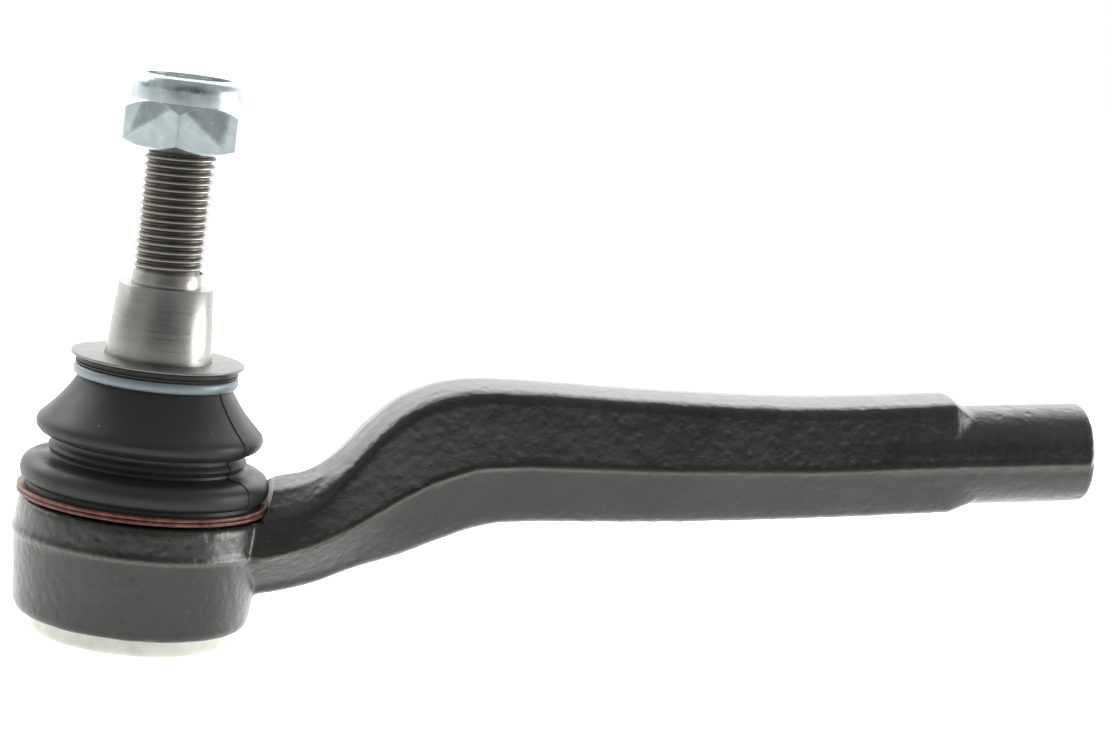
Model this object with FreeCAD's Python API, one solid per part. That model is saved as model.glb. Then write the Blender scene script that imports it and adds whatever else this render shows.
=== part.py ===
"""Outer tie rod end: a forged arm and eye with a ball stud, dust boot and lock nut.

The frame's origin is the ball's centre. +Z runs up the stud, +X along the arm.
All lengths are millimetres and all angles are degrees.
"""
import FreeCAD, Part
import math
import os

from FreeCAD import Vector

# ---- Fits ----
RUNNING_GAP = 0.06      # radial gap of a sliding or turning fit
STATIC_GAP = 0.03       # gap between pieces that are fixed to each other
FREE_GAP = 0.35         # gap between pieces that must never touch

# ---- Ball and stud ----
BALL_R = 13.5
BALL_FLAT_DEPTH = 1.1   # what the flat takes off the ball's underside
BALL_FLAT_Z = BALL_FLAT_DEPTH - BALL_R
NECK_R = 7.0
TAPER_Z = 37.6          # the taper's wide end, on top of the collar plate
TAPER_R = 10.35
SEAT_LENGTH = 11.1      # straight seat under the taper, for the boot and the plate
NECK_FLARE = 7.5
SHOULDER_Z = TAPER_Z - SEAT_LENGTH
NECK_TOP_Z = SHOULDER_Z - NECK_FLARE
TAPER_LENGTH = 14.2
TAPER_RATIO = 6.0       # length for each unit of diameter lost
THREAD_R = 6.513        # M14 x 1.5, drawn at its pitch radius
RUN_OUT_STAND = 0.237   # the plain end of the thread is a little wider than the pitch radius
RUN_OUT_R = THREAD_R + RUN_OUT_STAND
RUN_OUT_LENGTH = 2.4
STUD_TOP_Z = 89.8
THREAD_CHAMFER = 1.2
TILT_LIMIT = 20.0

# ---- Socket in the eye ----
SEAT_WALL = 4.5         # bearing plastic round the ball
SOCKET_R = BALL_R + SEAT_WALL
SEAT_TOP_DROP = 5.4     # from the ball's top down to the bearing's top
SEAT_TOP_Z = BALL_R - SEAT_TOP_DROP
MOUTH_MARGIN = 0.9      # room beside the tilted neck at the mouth
COVER_STEP = 1.7
COVER_BORE_R = SOCKET_R + COVER_STEP
COVER_BORE_Z = BALL_FLAT_Z + 2.0

# ---- Eye of the forging ----
EYE_WALL = 4.9
EYE_R = COVER_BORE_R + EYE_WALL     # at the parting line
EYE_PARTING_Z = 2.1
EYE_TOP_DRAFT = 0.4
EYE_TOP_R = EYE_R - EYE_TOP_DRAFT
EYE_BOTTOM_DRAFT = 1.6
EYE_BOTTOM_R = EYE_R - EYE_BOTTOM_DRAFT
EYE_EDGE = 1.1          # rounding of the bottom edge
EYE_EDGE_R = EYE_BOTTOM_R - EYE_EDGE
EYE_EDGE_HEIGHT = 2.0
EYE_BOTTOM_WALL = 1.6   # eye below the ball's flat
EYE_BOTTOM_Z = BALL_FLAT_Z - EYE_BOTTOM_WALL
EYE_ROOF = 0.55         # from the bearing's top to the shoulder outside
EYE_SHOULDER_Z = SEAT_TOP_Z + EYE_ROOF
EYE_SHOULDER_HEIGHT = 0.8
EYE_TOP_Z = EYE_SHOULDER_Z - EYE_SHOULDER_HEIGHT
EYE_NECK_STEP = 3.8
EYE_NECK_R = EYE_R - EYE_NECK_STEP
EYE_NECK_HEIGHT = 4.55
EYE_NECK_Z = EYE_SHOULDER_Z + EYE_NECK_HEIGHT
FLASH_STAND = 0.35      # how far the trimmed flash stands out
FLASH_HEIGHT = 1.1

# ---- Closure, spring and bearing ----
COVER_STAND = 3.6       # how far the cover stands below the eye
COVER_BOTTOM_Z = EYE_BOTTOM_Z - COVER_STAND
COVER_WALL = 1.5
SEAL_HEIGHT = 1.6
COVER_TOP_Z = COVER_BORE_Z - SEAL_HEIGHT
COVER_EDGE = 1.0
SPRING_SHEET = 0.7
SPRING_RISE = 0.5
SPRING_INNER_R = 6.0
PLATE_THICKNESS = 1.1
BEARING_SPLIT = 0.3     # gap between the two halves at the ball's equator
GREASE_HOLE_R = 4.0

# ---- Boot and its fixings ----
CLAMP_RISE = 0.35       # clamp above the eye's shoulder
CLAMP_BOTTOM_Z = EYE_SHOULDER_Z + CLAMP_RISE
CLAMP_TURNS = 3
CLAMP_WIRE_HEIGHT = 0.8
CLAMP_WIRE_WIDTH = 1.6
BOOT_WALL = 2.0
BOOT_LIP = 2.1          # rubber under the clamp
BOOT_LIP_R = EYE_NECK_R + BOOT_LIP
CLAMP_R = BOOT_LIP_R + CLAMP_WIRE_WIDTH
BOOT_LOWER_BULGE = 1.3
BOOT_LOWER_R = BOOT_LIP_R + BOOT_LOWER_BULGE
BOOT_LOWER_RISE = 0.8
BOOT_LOWER_Z = EYE_NECK_Z + BOOT_LOWER_RISE
BOOT_WAIST_DEPTH = 5.8
BOOT_WAIST_R = BOOT_LOWER_R - BOOT_WAIST_DEPTH
BOOT_WAIST_Z = BOOT_LOWER_Z + 4.9
BOOT_UPPER_BULGE = 3.6
BOOT_UPPER_R = BOOT_WAIST_R + BOOT_UPPER_BULGE
BOOT_UPPER_Z = BOOT_WAIST_Z + 4.5
BOOT_NECK_WALL = 4.05
BOOT_NECK_R = TAPER_R + BOOT_NECK_WALL
BOOT_RIM_STAND = 1.4
BOOT_RIM_R = BOOT_NECK_R + BOOT_RIM_STAND
CLIP_WIDTH = 1.6
CLIP_R = BOOT_NECK_R + CLIP_WIDTH
CLIP_HEIGHT = 2.2
CLIP_DROP = 4.6         # clip's lower face below the plate's top
CLIP_BOTTOM_Z = TAPER_Z - CLIP_DROP
COLLAR_PLATE_STAND = 1.0
COLLAR_PLATE_R = BOOT_RIM_R + COLLAR_PLATE_STAND
COLLAR_PLATE_THICKNESS = 0.6

# ---- Lock nut, M14 x 1.5, 22 across flats ----
NUT_HEIGHT = 14.0
STUD_PROUD = -2.4       # the stud's end stands this far past the nut's top
NUT_Z = STUD_TOP_Z - STUD_PROUD - NUT_HEIGHT
NUT_FLATS = 22.0
NUT_HEX_HEIGHT = 9.5
INSERT_WIDTH = 2.487
INSERT_R = THREAD_R + INSERT_WIDTH
INSERT_HEIGHT = 3.0
NUT_COLLAR_WALL = 1.9
NUT_COLLAR_R = INSERT_R + NUT_COLLAR_WALL
NUT_CHAMFER_ANGLE = 28.0
NUT_TURN = 20.0         # where the first corner points, from +X
NUT_LIP = 0.8
NUT_LIP_WIDTH = 1.0
NUT_LIP_R = INSERT_R - NUT_LIP_WIDTH

# ---- Arm ----
ARM_PITCH = 6.5         # rise of the straight run, from +X
ARM_AXIS_X = 76.0       # a point on the straight run's axis
ARM_AXIS_Z = 22.8404
ARM_END_X = 191.5
ARM_END_Z = ARM_AXIS_Z + (ARM_END_X - ARM_AXIS_X) * math.tan(math.radians(ARM_PITCH))
ROUND_R = 10.5
ROUND_LENGTH = 46.0
END_CHAMFER = 1.0
PARTING_SHARE = 0.45    # height of the parting line in the section
CORNER_R = 2.4
FACE_SHARE = 0.66       # width of the top and bottom faces in the section's width
BOOT_RELIEF = 0.7       # room beside the clamp
BOOT_RELIEF_R = CLAMP_R + BOOT_RELIEF
ARM_STEPS = 4           # sections in each span of the outline

# ---- Female thread in the arm ----
ARM_THREAD_MINOR_R = 6.188
ARM_THREAD_DEPTH = 42.0
ARM_THREAD_SINK = 1.212
ARM_THREAD_SINK_R = ARM_THREAD_MINOR_R + ARM_THREAD_SINK
DRILL_POINT = 118.0

# The arm's outline: top and bottom of each section, and the section's half width.
ARM_SECTIONS = [
    ((12.0, 6.5), (12.0, -8.5), 12.5),
    ((27.0, 15.6), (28.5, -5.6), 12.0),
    ((36.0, 20.6), (40.5, -1.2), 10.8),
    ((42.2, 28.2), (50.0, 2.6), 10.4),
    ((48.6, 34.2), (58.5, 7.0), 10.2),
    ((58.5, 38.5), (67.0, 10.8), 10.2),
    ((72.0, 39.7), (76.0, 12.3), 10.2),
    ((100.0, 40.5), (103.5, 14.6), 10.2),
    ((ARM_END_X - 30.8, ARM_END_Z + 9.4), (ARM_END_X - 28.3, ARM_END_Z - 14.4), 10.2),
]
RAMP_END = ((ARM_END_X - 24.8, ARM_END_Z + 5.0), (ARM_END_X - 23.9, ARM_END_Z - 10.4), 8.6)

UP = Vector(0, 0, 1)
ORIGIN = Vector(0, 0, 0)


def save(shape, node):
    """Write one node, after checking that it is closed and valid."""
    if not shape.isValid() or shape.Volume <= 0:
        raise ValueError(node + " is not a valid solid")
    shape.exportStep("parts/" + node + ".step")
    print("%-20s solids %d  volume %.1f mm3" % (node, len(shape.Solids), shape.Volume))


def turned(points):
    """Spin a closed outline of (radius, height) points about the stud's axis."""
    corners = [Vector(r, 0, z) for r, z in points]
    face = Part.Face(Part.makePolygon(corners + corners[:1]))
    return face.revolve(ORIGIN, UP, 360)


def tube(inner_r, outer_r, low, high):
    return turned([(inner_r, low), (outer_r, low), (outer_r, high), (inner_r, high)])


def ball_stud():
    """Ball, neck, boot seat, 1:6 taper, run-out and thread, all one steel piece."""
    ball = Part.makeSphere(BALL_R)
    ball = ball.cut(Part.makeBox(4 * BALL_R, 4 * BALL_R, BALL_R,
                                 Vector(-2 * BALL_R, -2 * BALL_R, BALL_FLAT_Z - BALL_R)))
    taper_top_r = TAPER_R - TAPER_LENGTH / TAPER_RATIO / 2
    taper_top = TAPER_Z + TAPER_LENGTH
    thread_start = taper_top + RUN_OUT_LENGTH
    shank = turned([
        (0, 0), (NECK_R, 0), (NECK_R, NECK_TOP_Z), (TAPER_R, SHOULDER_Z), (TAPER_R, TAPER_Z),
        (taper_top_r, taper_top), (RUN_OUT_R, taper_top), (RUN_OUT_R, thread_start),
        (THREAD_R, thread_start + RUN_OUT_R - THREAD_R), (THREAD_R, STUD_TOP_Z - THREAD_CHAMFER),
        (THREAD_R - THREAD_CHAMFER, STUD_TOP_Z), (0, STUD_TOP_Z)])
    return ball.fuse(shank).removeSplitter()


def arm_section(top, bottom, half_width):
    """A barrel section with six rounded corners, widest at the parting line."""
    top_point = Vector(top[0], 0, top[1])
    bottom_point = Vector(bottom[0], 0, bottom[1])
    parting = bottom_point + (top_point - bottom_point) * PARTING_SHARE
    face_half = half_width * FACE_SHARE
    side = Vector(0, 1, 0)
    corners = [top_point - side * face_half, top_point + side * face_half, parting + side * half_width,
               bottom_point + side * face_half, bottom_point - side * face_half,
               parting - side * half_width]
    edges = []
    ends = []
    for i, corner in enumerate(corners):
        before = (corners[i - 1] - corner).normalize()
        after = (corners[(i + 1) % len(corners)] - corner).normalize()
        half_turn = before.getAngle(after) / 2
        reach = CORNER_R / math.tan(half_turn)
        middle = corner + (before + after).normalize() * (CORNER_R / math.sin(half_turn) - CORNER_R)
        ends.append((corner + before * reach, middle, corner + after * reach))
    for i, (start, middle, end) in enumerate(ends):
        edges.append(Part.Arc(start, middle, end).toShape())
        edges.append(Part.makeLine(end, ends[(i + 1) % len(ends)][0]))
    return Part.Wire(edges)


def arm_axis():
    """Direction of the straight run, and the centre of its end face."""
    pitch = math.radians(ARM_PITCH)
    return Vector(math.cos(pitch), 0, math.sin(pitch)), Vector(ARM_END_X, 0, ARM_END_Z)


def outline_curve(points):
    """A smooth curve that reaches its k-th point at parameter k."""
    curve = Part.BSplineCurve()
    curve.interpolate(Points=[Vector(x, 0, z) for x, z in points],
                      Parameters=[float(k) for k in range(len(points))])
    return curve


def arm_sections():
    """Sections of the arm, closely spaced along its smooth top and bottom outlines."""
    tops, bottoms, half_widths = zip(*ARM_SECTIONS)
    top_curve = outline_curve(tops)
    bottom_curve = outline_curve(bottoms)
    sections = []
    last = len(ARM_SECTIONS) - 1
    for step in range(last * ARM_STEPS + 1):
        k, part = divmod(step, ARM_STEPS)
        share = part / ARM_STEPS
        half_width = half_widths[k] + (half_widths[min(k + 1, last)] - half_widths[k]) * share
        top = top_curve.value(k + share)
        bottom = bottom_curve.value(k + share)
        sections.append(arm_section((top.x, top.z), (bottom.x, bottom.z), half_width))
    return sections + [arm_section(*RAMP_END)]


def arm():
    """S-bent arm: a loft through its sections, a ramp at its far end, and a round end."""
    body = Part.makeLoft(arm_sections(), True, True)
    along, end = arm_axis()
    round_end = Part.makeCylinder(ROUND_R, ROUND_LENGTH - END_CHAMFER, end - along * ROUND_LENGTH, along)
    rim = Part.makeCone(ROUND_R, ROUND_R - END_CHAMFER, END_CHAMFER, end - along * END_CHAMFER, along)
    return body.fuse(round_end).fuse(rim)


def arm_thread():
    """The blind threaded hole, drawn at its minor radius, with its countersink."""
    along, end = arm_axis()
    across = Vector(-along.z, 0, along.x)
    point = ARM_THREAD_MINOR_R / math.tan(math.radians(DRILL_POINT / 2))
    sink_depth = ARM_THREAD_SINK_R - ARM_THREAD_MINOR_R
    corners = [end + along * depth + across * radius for radius, depth in [
        (0, sink_depth), (ARM_THREAD_SINK_R + sink_depth, sink_depth), (ARM_THREAD_MINOR_R, -sink_depth),
        (ARM_THREAD_MINOR_R, -ARM_THREAD_DEPTH), (0, -ARM_THREAD_DEPTH - point)]]
    return Part.Face(Part.makePolygon(corners + corners[:1])).revolve(end, along, 360)


def mouth_radius(height):
    """Radius that clears the stud's neck at full tilt, at a height above the ball's centre."""
    tilt = math.radians(TILT_LIMIT)
    return height * math.tan(tilt) + NECK_R / math.cos(tilt) + MOUTH_MARGIN


def forged_body():
    """Eye and arm in one forging, with the socket, mouth, cover bore and thread cut in it."""
    edge_z = EYE_BOTTOM_Z + EYE_EDGE_HEIGHT
    flash = FLASH_HEIGHT / 2
    eye = turned([
        (0, EYE_BOTTOM_Z), (EYE_EDGE_R, EYE_BOTTOM_Z), (EYE_BOTTOM_R, edge_z),
        (EYE_R, EYE_PARTING_Z - flash), (EYE_R + FLASH_STAND, EYE_PARTING_Z - flash / 2),
        (EYE_R + FLASH_STAND, EYE_PARTING_Z + flash / 2), (EYE_R, EYE_PARTING_Z + flash),
        (EYE_TOP_R, EYE_TOP_Z), (EYE_TOP_R - EYE_SHOULDER_HEIGHT, EYE_SHOULDER_Z), (EYE_NECK_R, EYE_SHOULDER_Z),
        (EYE_NECK_R, EYE_NECK_Z), (0, EYE_NECK_Z)])
    relief_top = max(top[1] for top, bottom, half_width in ARM_SECTIONS)
    relief = tube(EYE_NECK_R, BOOT_RELIEF_R, EYE_SHOULDER_Z, relief_top)
    ceiling = SEAT_TOP_Z + FREE_GAP / 2
    socket = turned([
        (0, EYE_BOTTOM_Z - 1), (COVER_BORE_R, EYE_BOTTOM_Z - 1), (COVER_BORE_R, COVER_BORE_Z),
        (SOCKET_R, COVER_BORE_Z), (SOCKET_R, ceiling), (mouth_radius(ceiling), ceiling),
        (mouth_radius(EYE_NECK_Z), EYE_NECK_Z), (mouth_radius(EYE_NECK_Z), EYE_NECK_Z + 1),
        (0, EYE_NECK_Z + 1)])
    return eye.fuse(arm()).cut(relief).cut(socket).cut(arm_thread())


def end_cover():
    """Pressed cup that closes the socket; its rim stands below the eye."""
    outer = COVER_BORE_R - STATIC_GAP
    inner = outer - COVER_WALL
    return turned([
        (0, COVER_BOTTOM_Z), (outer - COVER_EDGE, COVER_BOTTOM_Z),
        (outer, COVER_BOTTOM_Z + COVER_EDGE), (outer, COVER_TOP_Z), (inner, COVER_TOP_Z),
        (inner, COVER_BOTTOM_Z + COVER_WALL), (0, COVER_BOTTOM_Z + COVER_WALL)])


def cover_seal():
    """Rubber ring between the cover's rim and the step in the eye."""
    width = COVER_BORE_R - SOCKET_R - 2 * STATIC_GAP
    height = COVER_BORE_Z - COVER_TOP_Z - 2 * STATIC_GAP
    cord_r = min(width, height) / 2
    ring = Part.makeTorus((COVER_BORE_R + SOCKET_R) / 2, cord_r)
    return ring.translated(Vector(0, 0, (COVER_TOP_Z + COVER_BORE_Z) / 2))


def preload_spring():
    """Conical disc spring on the cover's floor."""
    low = COVER_BOTTOM_Z + COVER_WALL + STATIC_GAP
    outer = COVER_BORE_R - COVER_WALL - FREE_GAP
    return turned([
        (SPRING_INNER_R, low + SPRING_RISE), (outer, low), (outer, low + SPRING_SHEET),
        (SPRING_INNER_R, low + SPRING_RISE + SPRING_SHEET)])


def plate_bottom():
    return COVER_BOTTOM_Z + COVER_WALL + SPRING_RISE + SPRING_SHEET + 2 * STATIC_GAP


def pressure_plate():
    """Steel plate that spreads the spring's force on the lower bearing."""
    low = plate_bottom()
    return Part.makeCylinder(SOCKET_R - RUNNING_GAP, PLATE_THICKNESS, Vector(0, 0, low))


def bearing(low, high):
    """A plastic ring around the ball, from one height to another."""
    ring = Part.makeCylinder(SOCKET_R - RUNNING_GAP, high - low, Vector(0, 0, low))
    ring = ring.cut(Part.makeSphere(BALL_R + RUNNING_GAP))
    return ring.cut(Part.makeCylinder(GREASE_HOLE_R, high - low, Vector(0, 0, low)))


def bearing_seat_lower():
    return bearing(plate_bottom() + PLATE_THICKNESS + 2 * STATIC_GAP, -BEARING_SPLIT / 2)


def bearing_seat_upper():
    return bearing(BEARING_SPLIT / 2, SEAT_TOP_Z)


def dust_boot():
    """Moulded rubber boot with two bulges, a clamped lip and a neck on the stud."""
    rim_bottom = CLIP_BOTTOM_Z + CLIP_HEIGHT + STATIC_GAP
    rim_top = TAPER_Z - COLLAR_PLATE_THICKNESS - STATIC_GAP
    bore = TAPER_R + RUNNING_GAP
    lip_inner = EYE_NECK_R + RUNNING_GAP
    lip_low = EYE_SHOULDER_Z + FREE_GAP
    lip_high = CLAMP_BOTTOM_Z + CLAMP_TURNS * CLAMP_WIRE_HEIGHT + STATIC_GAP
    outer = Part.BSplineCurve()
    outer.interpolate([Vector(r, 0, z) for r, z in [
        (BOOT_LIP_R, lip_high), (BOOT_LOWER_R, BOOT_LOWER_Z), (BOOT_WAIST_R, BOOT_WAIST_Z),
        (BOOT_UPPER_R, BOOT_UPPER_Z), (BOOT_RIM_R, CLIP_BOTTOM_Z - STATIC_GAP)]])
    inner = Part.BSplineCurve()
    inner.interpolate([Vector(r, 0, z) for r, z in [
        (bore, CLIP_BOTTOM_Z - BOOT_WALL), (BOOT_UPPER_R - BOOT_WALL, BOOT_UPPER_Z),
        (BOOT_WAIST_R - BOOT_WALL, BOOT_WAIST_Z), (BOOT_LOWER_R - BOOT_WALL, BOOT_LOWER_Z),
        (lip_inner, lip_high)]])
    neck = Part.makePolygon([Vector(r, 0, z) for r, z in [
        (BOOT_RIM_R, CLIP_BOTTOM_Z - STATIC_GAP), (BOOT_NECK_R, CLIP_BOTTOM_Z - STATIC_GAP),
        (BOOT_NECK_R, rim_bottom), (BOOT_RIM_R, rim_bottom), (BOOT_RIM_R, rim_top),
        (bore, rim_top), (bore, CLIP_BOTTOM_Z - BOOT_WALL)]])
    lip = Part.makePolygon([Vector(r, 0, z) for r, z in [
        (lip_inner, lip_high), (lip_inner, lip_low), (BOOT_LIP_R, lip_low), (BOOT_LIP_R, lip_high)]])
    outline = Part.Wire([outer.toShape()] + neck.Edges + [inner.toShape()] + lip.Edges)
    return Part.Face(outline).revolve(ORIGIN, UP, 360)


def boot_lower_clamp():
    """Flat wire wound in close turns round the boot's lip, each turn with rounded edges."""
    inner = BOOT_LIP_R + RUNNING_GAP
    outer = CLAMP_R
    crown = CLAMP_WIRE_HEIGHT / 4
    points = [(inner, CLAMP_BOTTOM_Z)]
    for turn in range(CLAMP_TURNS):
        low = CLAMP_BOTTOM_Z + turn * CLAMP_WIRE_HEIGHT
        high = low + CLAMP_WIRE_HEIGHT
        points += [(outer - crown, low), (outer, low + crown), (outer, high - crown)]
    points += [(outer - crown, high), (inner, high)]
    return turned(points)


def boot_upper_clip():
    """Round-cornered ring that holds the boot's neck on the stud."""
    inner = BOOT_NECK_R + STATIC_GAP
    edge = CLIP_HEIGHT / 5
    high = CLIP_BOTTOM_Z + CLIP_HEIGHT
    return turned([
        (inner, CLIP_BOTTOM_Z), (CLIP_R - edge, CLIP_BOTTOM_Z), (CLIP_R, CLIP_BOTTOM_Z + edge),
        (CLIP_R, high - edge), (CLIP_R - edge, high), (inner, high)])


def boot_collar_plate():
    """Thin steel plate between the boot and the steering arm."""
    return tube(TAPER_R + RUNNING_GAP, COLLAR_PLATE_R, TAPER_Z - COLLAR_PLATE_THICKNESS, TAPER_Z)


def lock_nut():
    """Hexagon with a round collar that holds the nylon ring."""
    corner_r = NUT_FLATS / math.sqrt(3)
    corners = []
    for side in range(6):
        angle = math.radians(NUT_TURN + 60 * side)
        corners.append(Vector(corner_r * math.cos(angle), corner_r * math.sin(angle), NUT_Z))
    hexagon = Part.Face(Part.makePolygon(corners + corners[:1])).extrude(Vector(0, 0, NUT_HEX_HEIGHT))
    drop = math.tan(math.radians(NUT_CHAMFER_ANGLE))
    face_r = NUT_FLATS / 2 - 0.6
    wide_r = corner_r + 1
    rise = (wide_r - face_r) * drop
    hex_top = NUT_Z + NUT_HEX_HEIGHT
    envelope = turned([
        (0, NUT_Z), (face_r, NUT_Z), (wide_r, NUT_Z + rise), (wide_r, hex_top - rise),
        (face_r, hex_top), (0, hex_top)])
    top = NUT_Z + NUT_HEIGHT
    lip_bottom = top - NUT_LIP
    collar = turned([
        (0, hex_top - 1), (NUT_COLLAR_R, hex_top - 1), (NUT_COLLAR_R, lip_bottom - 0.6),
        (NUT_COLLAR_R - 0.5, top - 0.35), (NUT_COLLAR_R - 1.4, top), (0, top)])
    bore_r = THREAD_R + RUNNING_GAP
    pocket_low = lip_bottom - INSERT_HEIGHT
    bore = turned([
        (0, NUT_Z - 1), (bore_r + 1.5, NUT_Z - 1), (bore_r, NUT_Z + 0.5), (bore_r, pocket_low),
        (INSERT_R + STATIC_GAP, pocket_low), (INSERT_R + STATIC_GAP, lip_bottom),
        (NUT_LIP_R, lip_bottom), (NUT_LIP_R, top + 1), (0, top + 1)])
    return hexagon.common(envelope).fuse(collar).cut(bore).removeSplitter()


def nut_insert():
    """Nylon ring that grips the thread."""
    high = NUT_Z + NUT_HEIGHT - NUT_LIP - STATIC_GAP
    return tube(THREAD_R + RUNNING_GAP / 2, INSERT_R, high - INSERT_HEIGHT + 2 * STATIC_GAP, high)


NODES = [forged_body, end_cover, cover_seal, preload_spring, pressure_plate, bearing_seat_lower,
         bearing_seat_upper, ball_stud, dust_boot, boot_lower_clamp, boot_upper_clip,
         boot_collar_plate, lock_nut, nut_insert]

os.makedirs("parts", exist_ok=True)
for make in NODES:
    save(make(), make.__name__)
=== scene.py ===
"""Looks of a forged tie rod end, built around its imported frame.

Lengths in the sections are millimetres and become metres through MM.
"""
import math

import bmesh
import bpy
from mathutils import Matrix, Quaternion, Vector


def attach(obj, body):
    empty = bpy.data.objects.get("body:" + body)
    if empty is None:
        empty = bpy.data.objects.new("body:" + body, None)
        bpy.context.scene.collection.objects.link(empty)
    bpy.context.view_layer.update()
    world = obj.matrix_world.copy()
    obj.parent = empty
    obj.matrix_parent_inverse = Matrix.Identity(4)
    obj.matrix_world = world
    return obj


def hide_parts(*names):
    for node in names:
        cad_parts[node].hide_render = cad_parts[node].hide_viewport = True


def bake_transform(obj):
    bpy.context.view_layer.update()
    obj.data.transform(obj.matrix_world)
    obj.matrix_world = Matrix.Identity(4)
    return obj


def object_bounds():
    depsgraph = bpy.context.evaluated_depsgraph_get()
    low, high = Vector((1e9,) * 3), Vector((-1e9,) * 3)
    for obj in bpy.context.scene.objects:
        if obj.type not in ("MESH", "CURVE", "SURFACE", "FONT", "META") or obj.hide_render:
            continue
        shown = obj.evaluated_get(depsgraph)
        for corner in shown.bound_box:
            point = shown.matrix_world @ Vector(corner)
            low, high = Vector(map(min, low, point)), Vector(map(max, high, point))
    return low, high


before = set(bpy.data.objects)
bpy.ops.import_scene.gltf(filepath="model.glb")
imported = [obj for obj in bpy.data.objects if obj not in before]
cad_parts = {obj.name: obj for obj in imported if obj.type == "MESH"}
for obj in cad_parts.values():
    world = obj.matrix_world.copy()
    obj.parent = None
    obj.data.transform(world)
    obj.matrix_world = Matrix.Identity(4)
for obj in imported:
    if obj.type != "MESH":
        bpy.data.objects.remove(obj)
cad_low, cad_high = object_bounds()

# ---- Studio ----
# A light table in white acrylic under a softbox, with a bright wall behind and white walls at
# both sides. The room behind the camera is dark, which draws the dark bands on polished steel.
MM = 0.001
CAMERA_AIM = Vector((78.6, 0, 42.4)) * MM
CAMERA_AZIMUTH = math.radians(-12.83)
CAMERA_ELEVATION = math.radians(8.4)
CAMERA_ROLL = math.radians(7.44)
CAMERA_DISTANCE = 598.4 * MM
CAMERA_LENS = 97.3
FLOOR_SIZE = 6.0


def linear(code):
    """An sRGB hex value as linear red, green, blue and alpha."""
    parts = [int(code[i:i + 2], 16) / 255 for i in (1, 3, 5)]
    return [c / 12.92 if c <= 0.04045 else ((c + 0.055) / 1.055) ** 2.4 for c in parts] + [1.0]


def add_node(tree, kind, values=None, links=None, **settings):
    """Add a node: values set its inputs, links feed its inputs, settings are its properties."""
    node = tree.nodes.new(kind)
    for name, value in settings.items():
        setattr(node, name, value)
    for name, value in (values or {}).items():
        node.inputs[name].default_value = value
    for name, source in (links or {}).items():
        tree.links.new(source, node.inputs[name])
    return node


camera_data = bpy.data.cameras.new("camera")
camera_data.lens = CAMERA_LENS
camera_data.sensor_width = 36
camera = bpy.data.objects.new("camera", camera_data)
bpy.context.scene.collection.objects.link(camera)
bpy.context.scene.camera = camera
back = Vector((math.sin(CAMERA_AZIMUTH) * math.cos(CAMERA_ELEVATION),
               -math.cos(CAMERA_AZIMUTH) * math.cos(CAMERA_ELEVATION), math.sin(CAMERA_ELEVATION)))
camera.location = CAMERA_AIM + back * CAMERA_DISTANCE
roll = Quaternion((0, 0, 1), CAMERA_ROLL)
camera.rotation_euler = ((-back).to_track_quat("-Z", "Y") @ roll).to_euler()

bpy.ops.mesh.primitive_plane_add(size=FLOOR_SIZE, location=(0, 0, cad_low.z))
floor = bpy.context.object
floor.name = "floor"
floor_paint = bpy.data.materials.new("white_sweep")
floor_paint.use_nodes = True
floor_shader = floor_paint.node_tree.nodes["Principled BSDF"]
floor_shader.inputs["Base Color"].default_value = linear("#f4f5f4")
floor_shader.inputs["Roughness"].default_value = 0.9
floor_shader.inputs["Emission Color"].default_value = (1, 1, 1, 1)
seen = add_node(floor_paint.node_tree, "ShaderNodeLightPath")
# The table is lit from below under the part and behind it, and falls off in front.
floor_place = add_node(floor_paint.node_tree, "ShaderNodeTexCoord")
floor_parts = add_node(floor_paint.node_tree, "ShaderNodeSeparateXYZ",
                       links={"Vector": floor_place.outputs["Object"]})
lit_below = add_node(floor_paint.node_tree, "ShaderNodeMapRange",
                     {"From Min": -110 * MM, "From Max": -45 * MM, "To Min": 0.2, "To Max": 0.65},
                     {"Value": floor_parts.outputs["Y"]}, interpolation_type="SMOOTHSTEP")
glow = add_node(floor_paint.node_tree, "ShaderNodeMapRange", {"To Max": 1.0},
                {"Value": seen.outputs["Is Camera Ray"], "To Min": lit_below.outputs[0]})
floor_paint.node_tree.links.new(glow.outputs[0], floor_shader.inputs["Emission Strength"])
floor.data.materials.append(floor_paint)

bpy.context.scene.view_settings.view_transform = "Standard"
world = bpy.data.worlds.new("studio")
bpy.context.scene.world = world
world.use_nodes = True
sky = world.node_tree
sky.nodes.clear()
direction = add_node(sky, "ShaderNodeTexCoord")
parts = add_node(sky, "ShaderNodeSeparateXYZ", links={"Vector": direction.outputs["Generated"]})
# Strength from the dark room in front, past the grey side walls, to the bright wall behind.
from_front = add_node(sky, "ShaderNodeMapRange", {"From Min": -0.95, "From Max": -0.6, "To Min": 0.13, "To Max": 0.5},
                      {"Value": parts.outputs["Y"]}, interpolation_type="SMOOTHSTEP")
to_back = add_node(sky, "ShaderNodeMapRange", {"From Min": 0.1, "From Max": 0.85, "To Min": 0.0, "To Max": 1.4},
                   {"Value": parts.outputs["Y"]}, interpolation_type="SMOOTHSTEP")
strength = add_node(sky, "ShaderNodeMath", links={0: from_front.outputs[0], 1: to_back.outputs[0]}, operation="ADD")
lights_sky = add_node(sky, "ShaderNodeBackground", {"Color": (1, 1, 1, 1)}, {"Strength": strength.outputs[0]})
seen_sky = add_node(sky, "ShaderNodeBackground", {"Color": (1, 1, 1, 1), "Strength": 1.0})
ray = add_node(sky, "ShaderNodeLightPath")
both_skies = add_node(sky, "ShaderNodeMixShader", links={0: ray.outputs["Is Camera Ray"],
                                                         1: lights_sky.outputs[0], 2: seen_sky.outputs[0]})
add_node(sky, "ShaderNodeOutputWorld", links={"Surface": both_skies.outputs[0]})


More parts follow.
